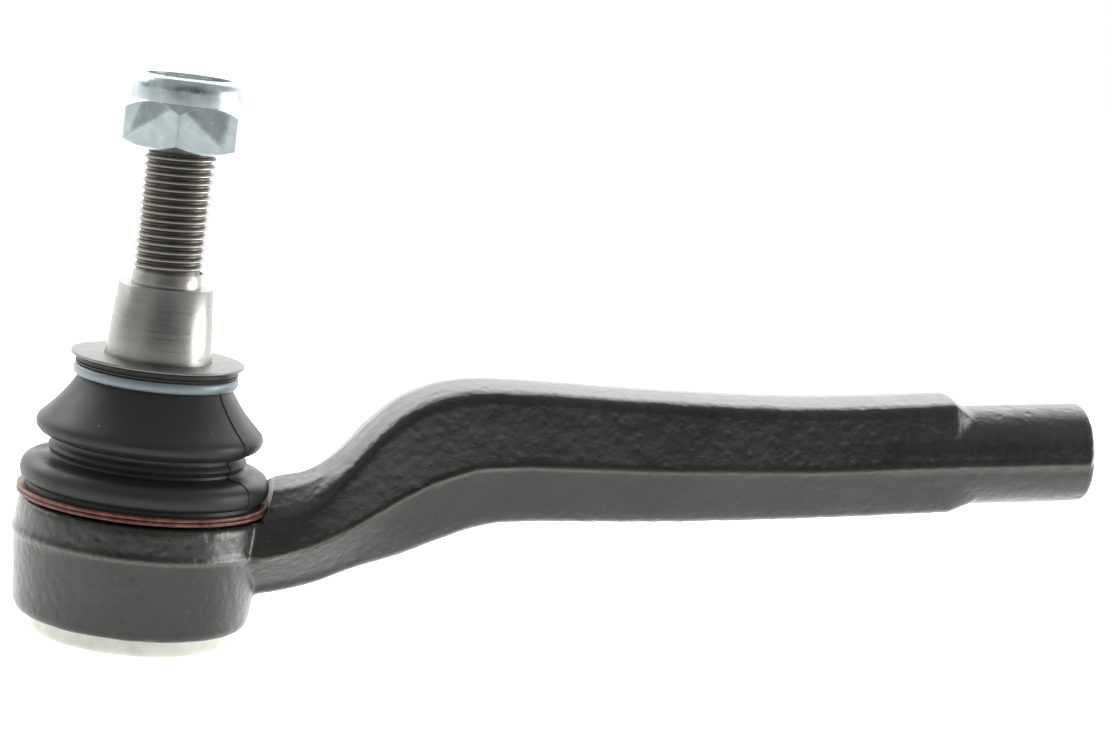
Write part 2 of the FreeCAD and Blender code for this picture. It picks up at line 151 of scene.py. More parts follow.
def softbox(name, place, aim, width, height, power):
    """A rectangular area light at a place, turned towards a point."""
    data = bpy.data.lights.new(name, "AREA")
    data.shape = "RECTANGLE"
    data.size, data.size_y, data.energy = width, height, power
    lamp = bpy.data.objects.new(name, data)
    bpy.context.scene.collection.objects.link(lamp)
    lamp.location = place
    lamp.rotation_euler = (Vector(aim) - Vector(place)).to_track_quat("-Z", "Y").to_euler()
    return lamp


softbox("overhead_softbox", (0.1, 0.6, 0.8), (0.08, 0, 0), 1.6, 0.8, 7)
softbox("upper_left_softbox", (-0.7, 0.45, 0.55), (0.05, 0, 0.02), 0.7, 0.5, 2)
softbox("low_right_softbox", (0.95, 0.0, 0.12), (0.05, 0, 0.02), 0.6, 0.35, 5)

# ---- Forged eye and arm ----
# One drop forging of carbon steel in black dip paint. The dies met along its widest line,
# where the trimmed flash still stands as a thin bead, paler partly from thin rubbed paint and partly from a painted
# highlight.
# The socket, the boot's seat and the M14 thread in the arm's end are machined afterwards.
EYE_OUTLINE = [(0, -14), (21.2, -14), (22.3, -13.5), (23.0, -12.2), (24.25, 1.3), (24.75, 1.8), (24.75, 2.4),
               (24.4, 2.9), (23.95, 7.2), (23.8, 8.0), (23.4, 8.6), (22.5, 9.0), (20.8, 9.2), (20.8, 13.2), (0, 13.2)]
EYE_FLASH_HEIGHT = 2.1
EYE_FLASH_END = 24.2    # along the arm, where the eye's flash meets the arm's
SEAT_RADIUS = 20.8      # where the boot's lip sits
SEAT_BOTTOM = 8.65
RELIEF_RADIUS = 25.2
ARM_PITCH = math.radians(6.5)
ARM_END = Vector((191.5, 0, 36.0))
ROUND_RADIUS = 10.2
ROUND_LENGTH = 46
# Top and bottom of each section, then the top face's half width, how far its edge drops,
# the half width, and the bottom face's half width.
ARM_STATIONS = [
    ((10, 8.0), (10, -9.5), 9.5, 1.0, 13.0, 6.5),
    ((24, 15.6), (25.5, -6.6), 10.8, 5.2, 13.4, 6.0),
    ((31, 17.8), (34.5, -4.0), 10.4, 4.6, 12.0, 5.4),
    ((36.5, 21.4), (43, 0.0), 9.8, 2.4, 11.0, 5.4),
    ((43, 29.0), (50.6, 3.0), 9.3, 1.6, 10.5, 5.6),
    ((49.5, 34.8), (59, 7.2), 8.9, 1.4, 10.3, 6.0),
    ((58.5, 38.5), (67, 10.7), 8.5, 1.3, 10.2, 6.6),
    ((71, 39.7), (76, 12.3), 8.3, 1.1, 10.2, 7.0),
    ((100, 40.3), (103.5, 14.6), 8.2, 0.9, 10.2, 7.1),
    ((131, 41.9), (133.5, 17.9), 8.2, 0.9, 10.2, 7.1),
    ((160.7, 45.4), (163, 21.7), 7.6, 0.8, 10.1, 7.1)]
RAMP_END = ((166.7, 42.4), (167.8, 24.0), 6.0, 1.4, 9.8, 6.6)
FLASH_SHARE = 0.43      # height of the flash in the section's height
FLASH_STAND = 0.4
STATION_STEPS = 6
VOXEL = 0.52


def select_only(*pieces):
    if bpy.context.mode != "OBJECT":
        bpy.ops.object.mode_set(mode="OBJECT")
    bpy.ops.object.select_all(action="DESELECT")
    for piece in pieces:
        piece.select_set(True)
    if pieces:
        bpy.context.view_layer.objects.active = pieces[0]


def modify(piece, kind, **settings):
    """Add a modifier and apply it."""
    select_only(piece)
    modifier = piece.modifiers.new(kind.lower(), kind)
    for name, value in settings.items():
        setattr(modifier, name, value)
    bpy.ops.object.modifier_apply(modifier=modifier.name)
    return piece


def chain(name, points):
    """A string of edges through (radius, height) points, drawn out from one vertex."""
    select_only()
    bpy.ops.mesh.primitive_plane_add(size=MM)
    piece = bpy.context.object
    piece.name = name
    bpy.ops.object.mode_set(mode="EDIT")
    bpy.ops.mesh.select_mode(type="VERT")
    bpy.ops.mesh.select_all(action="SELECT")
    bpy.ops.mesh.merge(type="CENTER")
    places = [Vector((radius, 0, height)) * MM for radius, height in points]
    bpy.ops.transform.translate(value=places[0])
    for start, end in zip(places, places[1:]):
        bpy.ops.mesh.extrude_region_move(TRANSFORM_OT_translate={"value": end - start})
    bpy.ops.mesh.select_all(action="SELECT")
    bpy.ops.mesh.remove_doubles(threshold=1e-7)
    bpy.ops.object.mode_set(mode="OBJECT")
    return piece


def face_outwards(piece):
    select_only(piece)
    bpy.ops.object.mode_set(mode="EDIT")
    bpy.ops.mesh.select_all(action="SELECT")
    bpy.ops.mesh.remove_doubles(threshold=1e-7)
    bpy.ops.mesh.normals_make_consistent(inside=False)
    bpy.ops.object.mode_set(mode="OBJECT")
    return piece


def turned(name, outline, steps=96):
    """A piece turned on the stud's axis. An outline off the axis is closed into a ring."""
    ring = [] if outline[0][0] == 0 else outline[:1]
    piece = chain(name, outline + ring)
    modify(piece, "SCREW", axis="Z", angle=math.tau, steps=steps, render_steps=steps,
           use_merge_vertices=True, merge_threshold=1e-7)
    return face_outwards(piece)


def rounded(outline, corners, radius, steps=3):
    """The outline with the corners at these places in it rounded off."""
    result = []
    for k, point in enumerate(outline):
        if k not in corners:
            result.append(point)
            continue
        here = Vector(point)
        before, after = Vector(outline[k - 1]), Vector(outline[(k + 1) % len(outline)])
        start = here + (before - here).normalized() * min(radius, (before - here).length * 0.49)
        end = here + (after - here).normalized() * min(radius, (after - here).length * 0.49)
        for j in range(steps + 1):
            t = j / steps
            result.append(tuple(start * (1 - t) ** 2 + here * 2 * t * (1 - t) + end * t ** 2))
    return result


def cut(piece, cutter, operation="DIFFERENCE"):
    """Combine two closed pieces: take the cutter out, keep what they share, or unite them."""
    modify(piece, "BOOLEAN", operation=operation, object=cutter, solver="EXACT")
    bpy.data.objects.remove(cutter)
    return piece


def join(*pieces):
    select_only(*pieces)
    bpy.ops.object.join()
    return pieces[0]


def between(values, k, share):
    """Smooth value between stations k and k + 1."""
    before, start, end, after = (values[min(max(k + d, 0), len(values) - 1)] for d in (-1, 0, 1, 2))
    leave, arrive = (end - before) / 2, (after - start) / 2
    return ((2 * share ** 3 - 3 * share ** 2 + 1) * start + (share ** 3 - 2 * share ** 2 + share) * leave
            + (3 * share ** 2 - 2 * share ** 3) * end + (share ** 3 - share ** 2) * arrive)


def arm_section(top, bottom, edge_half, edge_drop, half_width, low_half):
    """One section of the arm: crowned top, rounded edges and a flash bead at each side."""
    height = (top - bottom).length
    up = (top - bottom).normalized()
    flash = height * FLASH_SHARE
    half = [(0, height), (edge_half * 0.5, height - edge_drop * 0.3), (edge_half - 1.3, height - edge_drop * 0.86),
            (edge_half, height - edge_drop - 0.5), (edge_half + 0.6, height - edge_drop - 2.0),
            (half_width, flash + 0.6), (half_width + FLASH_STAND, flash + 0.2),
            (half_width + FLASH_STAND, flash - 0.2), (half_width, flash - 0.6),
            (low_half + 0.9, 2.6), (low_half, 0.9), (low_half - 1.3, 0.1), (0, 0)]
    return [(bottom + up * h + Vector((0, y, 0))) * MM for y, h in half + [(-y, h) for y, h in half[-2:0:-1]]]


def station_values(station):
    (top_x, top_z), (bottom_x, bottom_z), *rest = station
    return [Vector((top_x, 0, top_z)), Vector((bottom_x, 0, bottom_z)), *rest]


stations = list(zip(*(station_values(s) for s in ARM_STATIONS)))
sections = [arm_section(*(between(column, k, step / STATION_STEPS) for column in stations))
            for k in range(len(ARM_STATIONS) - 1) for step in range(STATION_STEPS)]
for share in (0, 0.3, 0.65, 1):
    sections.append(arm_section(*(last + (end - last) * share for last, end in
                                  zip((column[-1] for column in stations), station_values(RAMP_END)))))

select_only()
bpy.ops.mesh.primitive_circle_add(vertices=len(sections[0]), radius=MM, fill_type="NGON")
arm = bpy.context.object
bpy.ops.object.mode_set(mode="EDIT")
for number, section in enumerate(sections):
    if number:
        bpy.ops.mesh.extrude_region_move()
    work = bmesh.from_edit_mesh(arm.data)
    for vert, point in zip([v for v in work.verts if v.select], section):
        vert.co = point
    bmesh.update_edit_mesh(arm.data)
face_outwards(arm)

along = Vector((math.cos(ARM_PITCH), 0, math.sin(ARM_PITCH)))
select_only()
bpy.ops.mesh.primitive_cylinder_add(vertices=96, radius=ROUND_RADIUS * MM, depth=ROUND_LENGTH * MM,
                                    location=(ARM_END - along * (ROUND_LENGTH / 2 - 0.2)) * MM,
                                    rotation=(0, math.pi / 2 - ARM_PITCH, 0))
round_end = modify(bpy.context.object, "BEVEL", width=1.2 * MM, segments=3)
beads = []
for side in (-1, 1):
    select_only()
    bpy.ops.mesh.primitive_cube_add(
        size=1, location=(ARM_END - along * (ROUND_LENGTH / 2 + 1) + Vector((0, side * 10.1, -0.8))) * MM,
        rotation=(0, -ARM_PITCH, 0), scale=(ROUND_LENGTH * MM, 1.3 * MM, 1.0 * MM))
    beads.append(bpy.context.object)
select_only(round_end, *beads)
bpy.ops.object.transform_apply()
forging = join(turned("forging", EYE_OUTLINE, 128), arm, round_end, *beads)
modify(forging, "REMESH", mode="VOXEL", voxel_size=VOXEL * MM, adaptivity=0)
modify(forging, "SMOOTH", factor=0.5, iterations=2)
for lump, height in ((4.5, 0.15), (1.5, 0.09)):
    forge_scale = bpy.data.textures.new("forge_scale", "CLOUDS")
    forge_scale.noise_scale = lump * MM
    modify(forging, "DISPLACE", texture=forge_scale, texture_coords="LOCAL", strength=height * MM, mid_level=0.6)

to_arm_end = Matrix.Translation(ARM_END * MM) @ Matrix.Rotation(math.pi / 2 - ARM_PITCH, 4, "Y")
end_face = turned("end_face", [(0, 0), (16, 0), (16, 8), (0, 8)], 64)
end_face.data.transform(to_arm_end)
cut(forging, end_face)
cut(forging, turned("seat_cutter", [(SEAT_RADIUS, SEAT_BOTTOM), (RELIEF_RADIUS, SEAT_BOTTOM), (RELIEF_RADIUS, 60),
                                    (SEAT_RADIUS, 60)], 160))
cut(forging, turned("socket_cutter", [(0, -40), (19.7, -40), (19.7, -10.4), (18, -10.4), (18, 8.2), (12.0, 8.2),
                                      (13.8, 13.3), (13.8, 20), (0, 20)], 128))

HOLE_WALL_RADIUS = 7.0
HOLE_TIP_RADIUS = 6.19
HOLE_DEPTH = 42.0
THREAD_PITCH = 1.5
hole_cutter = turned("hole_cutter", [(0, -HOLE_DEPTH - 4), (HOLE_WALL_RADIUS, -HOLE_DEPTH), (HOLE_WALL_RADIUS, -0.6),
                                     (7.9, 0.3), (7.9, 4), (0, 4)], 64)
hole_cutter.data.transform(to_arm_end)
cut(forging, hole_cutter)


def thread_ridge(name, wall, tip, start, turns, steps=36):
    """A helical M14 x 1.5 thread, as one closed ridge from its wall to its tip."""
    half = THREAD_PITCH / 2
    ridge = chain(name, [(wall, start - half * 0.84), (tip, start - half * 0.12), (tip, start + half * 0.12),
                         (wall, start + half * 0.84), (wall, start - half * 0.84)])
    modify(ridge, "SCREW", axis="Z", angle=math.tau, steps=steps, render_steps=steps, iterations=turns,
           screw_offset=THREAD_PITCH * MM)
    select_only(ridge)
    bpy.ops.object.mode_set(mode="EDIT")
    bpy.ops.mesh.select_mode(type="EDGE")
    bpy.ops.mesh.select_all(action="SELECT")
    bpy.ops.mesh.remove_doubles(threshold=1e-7)
    bpy.ops.mesh.select_all(action="DESELECT")
    bpy.ops.mesh.select_non_manifold()
    bpy.ops.mesh.fill_holes(sides=4)
    return face_outwards(ridge)


hole_thread = thread_ridge("hole_thread", HOLE_WALL_RADIUS + 0.05, HOLE_TIP_RADIUS, -37.5, 24)
hole_thread.data.transform(to_arm_end)
join(forging, hole_thread)


def per(size):
    """Texture scale that makes its features about this many millimetres across."""
    return 1 / (size * MM)


def material(name, color, metallic, roughness):
    """A material with one principled shader, and its tree, shader and object coordinates."""
    made = bpy.data.materials.new(name)
    made.use_nodes = True
    shader = made.node_tree.nodes["Principled BSDF"]
    shader.inputs["Base Color"].default_value = linear(color)
    shader.inputs["Metallic"].default_value = metallic
    shader.inputs["Roughness"].default_value = roughness
    place = made.node_tree.nodes.new("ShaderNodeTexCoord").outputs["Object"]
    return made, made.node_tree, shader, place


# Black dip paint over forge scale: a satin skin with orange peel and pits 1 to 2 mm across,
# faint scratches and a paler flash line, partly rubbed thin paint and partly a painted highlight.
black_paint, tree, shader, place = material("black_dip_paint", "#1d201b", 0.0, 0.34)
peel = add_node(tree, "ShaderNodeTexNoise", {"Scale": per(2.2), "Detail": 5.0, "Roughness": 0.6}, {"Vector": place})
pits = add_node(tree, "ShaderNodeTexVoronoi", {"Scale": per(2.6), "Randomness": 1.0}, {"Vector": place},
                feature="SMOOTH_F1")
pit_depth = add_node(tree, "ShaderNodeMapRange", {"From Min": 0.05, "From Max": 0.35},
                     {"Value": pits.outputs["Distance"]})
relief = add_node(tree, "ShaderNodeMath", {1: 0.45}, {0: pit_depth.outputs[0], 2: peel.outputs["Fac"]},
                  operation="MULTIPLY_ADD")
bumped = add_node(tree, "ShaderNodeBump", {"Strength": 0.8, "Distance": 0.32 * MM}, {"Height": relief.outputs[0]})
tree.links.new(bumped.outputs[0], shader.inputs["Normal"])
stretch = add_node(tree, "ShaderNodeMapping", {"Scale": (0.12, 1, 1), "Rotation": (0.3, 0.2, 0.4)},
                   {"Vector": place})
scratches = add_node(tree, "ShaderNodeTexNoise", {"Scale": per(0.5), "Detail": 2.0}, {"Vector": stretch.outputs[0]})
scratched = add_node(tree, "ShaderNodeMapRange", {"From Min": 0.74, "From Max": 0.8, "To Max": 0.4},
                     {"Value": scratches.outputs["Fac"]})
patches = add_node(tree, "ShaderNodeTexNoise", {"Scale": per(14), "Detail": 3.0}, {"Vector": place})
tone = add_node(tree, "ShaderNodeValToRGB", links={"Fac": patches.outputs["Fac"]})
tone.color_ramp.elements[0].position, tone.color_ramp.elements[0].color = 0.35, linear("#151812")
tone.color_ramp.elements[1].position, tone.color_ramp.elements[1].color = 0.68, linear("#242720")
# The paler flash line is partly worn paint and partly a painted highlight on the bead.
rubbed_and_highlight = add_node(tree, "ShaderNodeAttribute", attribute_name="rubbed_and_highlight")
wear_and_highlight = add_node(tree, "ShaderNodeMath", links={0: rubbed_and_highlight.outputs["Fac"], 1: scratched.outputs[0]},
                operation="MAXIMUM", use_clamp=True)
paint_tone = add_node(tree, "ShaderNodeMixRGB", {"Color2": linear("#6c6c64")},
                      {"Fac": wear_and_highlight.outputs[0], "Color1": tone.outputs["Color"]})
tree.links.new(paint_tone.outputs[0], shader.inputs["Base Color"])
dull = add_node(tree, "ShaderNodeMapRange", {"To Min": 0.22, "To Max": 0.42}, {"Value": peel.outputs["Fac"]})
tree.links.new(dull.outputs[0], shader.inputs["Roughness"])
shader.inputs["Coat Weight"].default_value = 0.5
shader.inputs["Coat Roughness"].default_value = 0.25


def flash_height(x):
    """Height of the flash line along the arm, in millimetres."""
    line = [(EYE_FLASH_END, EYE_FLASH_HEIGHT)]
    line += [(t.x + (b.x - t.x) * (1 - FLASH_SHARE), b.z + (t.z - b.z) * FLASH_SHARE)
             for t, b in zip(stations[0][2:], stations[1][2:])]
    line.append((ARM_END.x, ARM_END.z - 0.8))
    for (x0, z0), (x1, z1) in zip(line, line[1:]):
        if x <= x1:
            return z0 + (z1 - z0) * max(x - x0, 0) / (x1 - x0)
    return line[-1][1]


# Marks the flash line to be painted paler: partly rubbed paint, partly painted highlight.
rubbed_and_highlight_values = forging.data.attributes.new("rubbed_and_highlight", "FLOAT", "POINT")
for vert, value in zip(forging.data.vertices, rubbed_and_highlight_values.data):
    x, y, z = vert.co / MM
    if x < EYE_FLASH_END:
        off, out = abs(z - EYE_FLASH_HEIGHT), math.hypot(x, y) - 24.1
    else:
        off, out = abs(z - flash_height(x)), abs(y) - 9.9
    value.value = max(0, 1 - off / 0.6) * min(max(out / 0.4, 0), 1) * 0.8


SMOOTH_ANGLE = math.radians(38)     # sharper corners than this stay crisp


def dress(piece, finish, slot, body, *nodes):
    """Give a piece its finish and smooth faces, the body that it rides on and the nodes it stands for."""
    piece.data.materials.clear()
    piece.data.materials.append(finish)
    select_only(piece)
    bpy.ops.object.shade_smooth_by_angle(angle=SMOOTH_ANGLE)
    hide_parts(*nodes)
    if body:
        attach(piece, body)


dress(forging, black_paint, "black_paint", "housing", "forged_body")

# ---- End cover ----
# A pressed steel cup, zinc plated, rolled into the eye after the bearing and spring go in.
# Its rounded rim stands below the eye, and its floor is dished a little.
end_cover = turned("end_cup", rounded([(0, -17.1), (11, -17.1), (13, -17.6), (19.67, -17.6), (19.67, -12),
                                       (18.17, -12), (18.17, -16.1), (0, -16.1)], (2, 3, 6), 1.5, 5), 128)
cover_plate, tree, shader, place = material("yellowed_zinc_plate", "#dcddd0", 0.1, 0.4)
cloud = add_node(tree, "ShaderNodeTexNoise", {"Scale": per(3), "Detail": 4.0}, {"Vector": place})
cover_tone = add_node(tree, "ShaderNodeValToRGB", links={"Fac": cloud.outputs["Fac"]})
cover_tone.color_ramp.elements[0].position, cover_tone.color_ramp.elements[0].color = 0.3, linear("#dfe0d3")
cover_tone.color_ramp.elements[1].position, cover_tone.color_ramp.elements[1].color = 0.7, linear("#f0f1e7")
tree.links.new(cover_tone.outputs["Color"], shader.inputs["Base Color"])
grain = add_node(tree, "ShaderNodeBump", {"Strength": 0.25, "Distance": 0.05 * MM}, {"Height": cloud.outputs["Fac"]})
tree.links.new(grain.outputs[0], shader.inputs["Normal"])
dress(end_cover, cover_plate, "pale_plate", "housing", "end_cover")

# ---- Bearing, spring and seal ----
# Two moulded polyacetal rings carry the ball, pushed together by a steel disc spring through
# a stamped plate. A rubber ring seals the cup. None of them shows when the joint is whole.
acetal, tree, shader, place = material("moulded_acetal", "#e6e2d4", 0.0, 0.42)
flow = add_node(tree, "ShaderNodeTexNoise", {"Scale": per(6), "Detail": 3.0}, {"Vector": place})
acetal_gloss = add_node(tree, "ShaderNodeMapRange", {"To Min": 0.35, "To Max": 0.5}, {"Value": flow.outputs["Fac"]})
tree.links.new(acetal_gloss.outputs[0], shader.inputs["Roughness"])
blued_steel, tree, shader, place = material("oiled_spring_steel", "#7f8286", 1.0, 0.35)
rolled = add_node(tree, "ShaderNodeTexNoise", {"Scale": per(1.5), "Detail": 4.0}, {"Vector": place})
rolled_gloss = add_node(tree, "ShaderNodeMapRange", {"To Min": 0.26, "To Max": 0.46},
                        {"Value": rolled.outputs["Fac"]})
tree.links.new(rolled_gloss.outputs[0], shader.inputs["Roughness"])
seal_rubber, tree, shader, place = material("nitrile_rubber", "#262627", 0.0, 0.6)
mould = add_node(tree, "ShaderNodeTexNoise", {"Scale": per(0.8), "Detail": 2.0}, {"Vector": place})
mould_bump = add_node(tree, "ShaderNodeBump", {"Strength": 0.2, "Distance": 0.03 * MM},
                      {"Height": mould.outputs["Fac"]})
tree.links.new(mould_bump.outputs[0], shader.inputs["Normal"])
for node, finish in (("bearing_seat_lower", acetal), ("bearing_seat_upper", acetal), ("preload_spring", blued_steel),
                     ("pressure_plate", blued_steel), ("cover_seal", seal_rubber)):
    for place_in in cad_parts[node].material_slots:
        place_in.material = finish

# ---- Ball stud ----
# One turned and ground steel piece: polished ball, waisted neck, 1:6 taper, and a rolled
# M14 x 1.5 thread above its plain run-out. The taper keeps its grinding lines and a few rust specks.
BALL_RADIUS = 13.5
BALL_FLAT = -12.4
THREAD_CORE = 6.1
THREAD_CREST = 7.0
THREAD_START = 54.2
THREAD_TURNS = 23
low_angle = math.asin(BALL_FLAT / BALL_RADIUS)
high_angle = math.acos(7.3 / BALL_RADIUS)
ball_points = [(BALL_RADIUS * math.cos(a), BALL_RADIUS * math.sin(a))
               for a in (low_angle + (high_angle - low_angle) * k / 36 for k in range(37))]
stud_outline = [(0, BALL_FLAT)] + ball_points + rounded(
    [(7.3, 11.36), (7.0, 12.6), (7.0, 19.0), (7.6, 21.4), (9.2, 24.6), (10.35, 26.5), (10.35, 37.6), (9.17, 51.6),
     (9.0, 51.8), (6.75, 51.8), (6.75, 53.9), (THREAD_CORE, 54.8), (THREAD_CORE, 88.9), (5.5, 89.8), (0, 89.8)],
    (2, 3, 4), 1.5)[1:]
stud = turned("stud", stud_outline, 128)
stud_thread = thread_ridge("stud_thread", THREAD_CORE - 0.05, THREAD_CREST, THREAD_START + 0.3, THREAD_TURNS, 48)
run_out = turned("run_out", [(0, 53.4), (6.2, 53.4), (7.1, 55.0), (7.1, 88.6), (6.0, 89.75), (0, 89.75)], 96)
cut(stud_thread, run_out, "INTERSECT")
join(stud, stud_thread)
ground_steel, tree, shader, place = material("ground_alloy_steel", "#bdbcb8", 1.0, 0.27)
turned_lines = add_node(tree, "ShaderNodeMapping", {"Scale": (0.04, 0.04, 1)}, {"Vector": place})
# The grinding lines are 0.1 to 0.2 mm apart, drawn 0.45 mm apart so that they show.
lines = add_node(tree, "ShaderNodeTexNoise", {"Scale": per(0.45), "Detail": 3.0}, {"Vector": turned_lines.outputs[0]})
line_bump = add_node(tree, "ShaderNodeBump", {"Strength": 0.12, "Distance": 0.02 * MM},
                     {"Height": lines.outputs["Fac"]})
tree.links.new(line_bump.outputs[0], shader.inputs["Normal"])
specks = add_node(tree, "ShaderNodeTexNoise", {"Scale": per(1.1), "Detail": 4.0, "Roughness": 0.65},
                  {"Vector": place})
rust = add_node(tree, "ShaderNodeMapRange", {"From Min": 0.67, "From Max": 0.72}, {"Value": specks.outputs["Fac"]})
# Painted shade darkens the thread's roots, below its crests.
apart = add_node(tree, "ShaderNodeSeparateXYZ", links={"Vector": place})
flat_place = add_node(tree, "ShaderNodeCombineXYZ", links={"X": apart.outputs["X"], "Y": apart.outputs["Y"]})
from_axis = add_node(tree, "ShaderNodeVectorMath", links={0: flat_place.outputs[0]}, operation="LENGTH")
in_root = add_node(tree, "ShaderNodeMapRange", {"From Min": 6.6 * MM, "From Max": 6.2 * MM},
                   {"Value": from_axis.outputs["Value"]})
THREAD_MIDDLE = 71.4
THREAD_REACH = 17.1     # each way from its middle, short of the stud's end face
on_thread = add_node(tree, "ShaderNodeMath", {1: THREAD_MIDDLE * MM, 2: THREAD_REACH * MM},
                     {0: apart.outputs["Z"]}, operation="COMPARE")
painted_root_shade = add_node(tree, "ShaderNodeMath", links={0: in_root.outputs[0], 1: on_thread.outputs[0]}, operation="MULTIPLY")
# The darker colour in the thread's roots is painted shade.
root_shaded_tone = add_node(tree, "ShaderNodeMixRGB", {"Color1": linear("#9d9c98"), "Color2": linear("#6b6760")},
                      {"Fac": painted_root_shade.outputs[0]})
steel_tone = add_node(tree, "ShaderNodeMixRGB", {"Color2": linear("#6f4a33")},
                      {"Fac": rust.outputs[0], "Color1": root_shaded_tone.outputs[0]})
tree.links.new(steel_tone.outputs[0], shader.inputs["Base Color"])
steel_gloss = add_node(tree, "ShaderNodeMapRange", {"From Min": 0.3, "From Max": 0.7, "To Min": 0.26, "To Max": 0.4},
                       {"Value": lines.outputs["Fac"]})
rust_gloss = add_node(tree, "ShaderNodeMath",
                      links={0: steel_gloss.outputs[0], 1: rust.outputs[0]}, operation="MAXIMUM")
tree.links.new(rust_gloss.outputs[0], shader.inputs["Roughness"])
bare = add_node(tree, "ShaderNodeMath", {0: 1.0}, {1: rust.outputs[0]}, operation="SUBTRACT")
tree.links.new(bare.outputs[0], shader.inputs["Metallic"])
dress(stud, ground_steel, "ground_steel", "stud", "ball_stud")

# ---- Dust boot ----
# Moulded chloroprene rubber, satin black. The lip is clamped on the eye, two round bulges let
# it flex over a narrow waist, and a cone runs up to the neck under the clip and the ribbed rim.
BOOT_OUTLINE = [
    (20.86, 9.0), (22.88, 9.0), (22.9, 11.45), (22.8, 11.7), (23.35, 11.95), (23.9, 12.5), (24.18, 13.3),
    (24.2, 14.2), (24.0, 15.1), (23.45, 15.9), (22.6, 16.45), (21.5, 16.75), (20.3, 16.8), (19.4, 16.9),
    (18.9, 17.2), (18.8, 17.65), (19.05, 18.1), (19.3, 18.6), (19.15, 19.1), (18.65, 19.5), (18.4, 20.0),
    (18.5, 20.5), (19.1, 20.85), (20.2, 21.1), (21.2, 21.6), (21.85, 22.4), (22.05, 23.3), (21.75, 24.2),
    (21.0, 25.0), (19.7, 26.3), (18.1, 28.1), (16.8, 29.8), (15.8, 31.3), (15.2, 32.3), (14.9, 32.9), (14.4, 33.0),
    (14.4, 35.25), (15.5, 35.27), (15.75, 35.45), (15.8, 35.7), (15.55, 35.85), (15.55, 35.95), (15.8, 36.1),
    (15.8, 36.7), (15.6, 36.95), (10.42, 36.97), (10.42, 31.2), (12.6, 30.6), (14.2, 29.0), (16.4, 26.5),
    (18.6, 24.3), (19.9, 23.5), (20.1, 23.0), (19.6, 22.6), (17.4, 22.0), (16.6, 21.0), (16.5, 19.9), (16.9, 18.8),
    (16.7, 17.6), (17.0, 16.4), (17.8, 15.3), (19.6, 14.9), (21.2, 14.7), (22.0, 14.2), (22.1, 13.6), (21.7, 13.25),
    (20.86, 13.2)]
BOOT_STEPS = 360
boot = turned("boot", BOOT_OUTLINE, BOOT_STEPS)
SEAM_ANGLE = math.radians(-38)
select_only(boot)
bpy.ops.object.mode_set(mode="EDIT")
bpy.ops.mesh.select_mode(type="FACE")
bpy.ops.mesh.select_all(action="DESELECT")
work = bmesh.from_edit_mesh(boot.data)
for face in work.faces:
    middle = face.calc_center_median()
    turn = (math.atan2(middle.y, middle.x) - SEAM_ANGLE + math.pi) % math.tau - math.pi
    face.select = abs(turn) < math.radians(0.55) and face.normal.xy.dot(middle.xy) > 0 and 0.012 < middle.z < 0.033
bmesh.update_edit_mesh(boot.data)
bpy.ops.mesh.extrude_region_shrink_fatten(TRANSFORM_OT_shrink_fatten={"value": 0.16 * MM})
bpy.ops.object.mode_set(mode="OBJECT")
rubber, tree, shader, place = material("moulded_chloroprene_rubber", "#262826", 0.0, 0.42)
skin = add_node(tree, "ShaderNodeTexNoise", {"Scale": per(0.6), "Detail": 3.0}, {"Vector": place})
skin_bump = add_node(tree, "ShaderNodeBump", {"Strength": 0.22, "Distance": 0.05 * MM},
                     {"Height": skin.outputs["Fac"]})
tree.links.new(skin_bump.outputs[0], shader.inputs["Normal"])
smudge = add_node(tree, "ShaderNodeTexNoise", {"Scale": per(9), "Detail": 3.0}, {"Vector": place})
rubber_gloss = add_node(tree, "ShaderNodeMapRange", {"From Min": 0.3, "From Max": 0.7, "To Min": 0.32, "To Max": 0.5},
                        {"Value": smudge.outputs["Fac"]})
tree.links.new(rubber_gloss.outputs[0], shader.inputs["Roughness"])
dust = add_node(tree, "ShaderNodeTexVoronoi", {"Scale": per(4.5), "Randomness": 1.0}, {"Vector": place})
dust_spot = add_node(tree, "ShaderNodeMapRange", {"From Min": 0.05, "From Max": 0.035},
                     {"Value": dust.outputs["Distance"]})
rubber_tone = add_node(tree, "ShaderNodeMixRGB", {"Color1": linear("#262826"), "Color2": linear("#7f7d76")},
                       {"Fac": dust_spot.outputs[0]})
tree.links.new(rubber_tone.outputs[0], shader.inputs["Base Color"])
shader.inputs["Specular IOR Level"].default_value = 0.35
dress(boot, rubber, "black_rubber", None, "dust_boot")
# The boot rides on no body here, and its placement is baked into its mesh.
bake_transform(boot)

# ---- Lower clamp ----
# Flat spring wire wound three turns round the boot's lip, with rounded edges, in a
# reddish-brown baked coating that thins to a pinkish metal on the crown of each turn.
CLAMP_LOW = 9.02
CLAMP_PITCH = 0.81
CLAMP_HEIGHT = 0.74
clamp_section = rounded([(22.97, CLAMP_LOW), (24.5, CLAMP_LOW), (24.5, CLAMP_LOW + CLAMP_HEIGHT),
                         (22.97, CLAMP_LOW + CLAMP_HEIGHT)], (1, 2), 0.3)
clamp = chain("clamp_wire", clamp_section + clamp_section[:1])
modify(clamp, "SCREW", axis="Z", angle=math.tau, steps=128, render_steps=128, iterations=2,
       screw_offset=CLAMP_PITCH * MM)
select_only(clamp)
bpy.ops.object.mode_set(mode="EDIT")
bpy.ops.mesh.select_mode(type="EDGE")
bpy.ops.mesh.select_all(action="SELECT")
bpy.ops.mesh.remove_doubles(threshold=1e-7)
bpy.ops.mesh.select_all(action="DESELECT")
bpy.ops.mesh.select_non_manifold()
bpy.ops.mesh.fill_holes(sides=0)
bpy.ops.object.mode_set(mode="OBJECT")
face_outwards(clamp)
clamp.data.transform(Matrix.Rotation(math.radians(110), 4, "Z"))
clamp_coating, tree, shader, place = material("baked_brown_coating", "#5c2d25", 0.3, 0.34)
